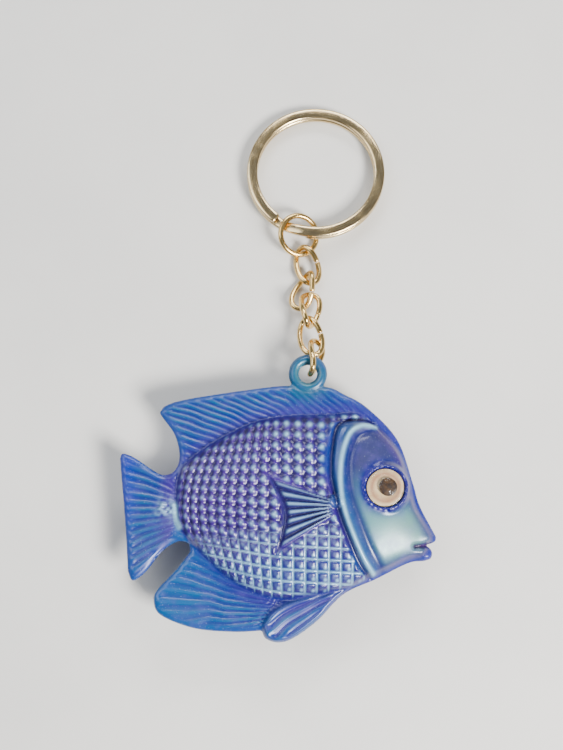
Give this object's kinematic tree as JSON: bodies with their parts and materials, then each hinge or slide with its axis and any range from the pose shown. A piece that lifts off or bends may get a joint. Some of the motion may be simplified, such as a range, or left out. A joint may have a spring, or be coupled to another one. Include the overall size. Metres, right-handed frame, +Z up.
{
  "type": "keychain",
  "caption": "Souvenir keychain: hollow moulded fish with googly eyes, hung by a loop on its back from a short twisted-link chain, a jump ring and a split key ring.",
  "frame": {"origin": "middle of the whole laid-out keychain's footprint, on the surface it lies on", "axes": "+X the way the fish looks, +Y from the fish to the key ring, +Z up from the surface"},
  "size_m": [0.0532, 0.095, 0.0124],
  "materials": {
    "key_ring_steel": "polished, faint wear lines along the wire",
    "chain_metal": "pale gold plating, lightly worn",
    "fish_body": "translucent blue with pearl paint",
    "eye_white": "satin",
    "eye_black": "satin",
    "eye_clear": "clear, polished"
  },
  "bodies": {
    "fish": {"body_shell_right": "fish_body", "body_shell_left": "fish_body", "eye_backing_right": "eye_white", "eye_backing_left": "eye_white", "eye_dome_right": "eye_clear", "eye_dome_left": "eye_clear"},
    "pupil_right": {"eye_pupil_right": "eye_black"},
    "pupil_left": {"eye_pupil_left": "eye_black"},
    "link_5": {"chain_link_5": "chain_metal"},
    "link_4": {"chain_link_4": "chain_metal"},
    "link_3": {"chain_link_3": "chain_metal"},
    "link_2": {"chain_link_2": "chain_metal"},
    "link_1": {"chain_link_1": "chain_metal"},
    "jump_ring": {"jump_ring": "chain_metal"},
    "key_ring": {"split_key_ring": "key_ring_steel"}
  },
  "joints": [
    {"name": "link_5_swing", "type": "hinge", "parent": "fish", "child": "link_5", "pos_m": [0.0053, -0.0027, 0.0062], "axis": [0, 0, 1], "range_deg": [-45, 45]},
    {"name": "link_4_swing", "type": "hinge", "parent": "link_5", "child": "link_4", "pos_m": [0.0076, 0.003, 0.0042], "axis": [0, 0, -1], "range_deg": [-9, 35]},
    {"name": "link_3_swing", "type": "hinge", "parent": "link_4", "child": "link_3", "pos_m": [0.0058, 0.0067, 0.005], "axis": [0, 0, 1], "range_deg": [-35, 28]},
    {"name": "link_2_swing", "type": "hinge", "parent": "link_3", "child": "link_2", "pos_m": [0.006, 0.012, 0.0024], "axis": [0, 0, -1], "range_deg": [-35, 15]},
    {"name": "link_1_swing", "type": "hinge", "parent": "link_2", "child": "link_1", "pos_m": [0.0045, 0.0154, 0.0011], "axis": [0, 0, 1], "range_deg": [-35, 28]},
    {"name": "jump_ring_flip", "type": "hinge", "parent": "link_1", "child": "jump_ring", "pos_m": [0.0046, 0.0199, 0.0009], "axis": [0.9798, 0.2, 0], "range_deg": [0, 42]},
    {"name": "key_ring_swing", "type": "hinge", "parent": "jump_ring", "child": "key_ring", "pos_m": [0.0052, 0.0228, 0.0024], "axis": [0.2, 0, 0.9798], "range_deg": [-12, 22]},
    {"name": "pupil_right_orbit", "type": "hinge", "parent": "fish", "child": "pupil_right", "pos_m": [0.0179, -0.0223, 0.0108], "axis": [0, 0, 1], "continuous": true},
    {"name": "pupil_left_orbit", "type": "hinge", "parent": "fish", "child": "pupil_left", "pos_m": [0.0179, -0.0223, 0.0016], "axis": [0, 0, -1], "continuous": true}
  ]
}
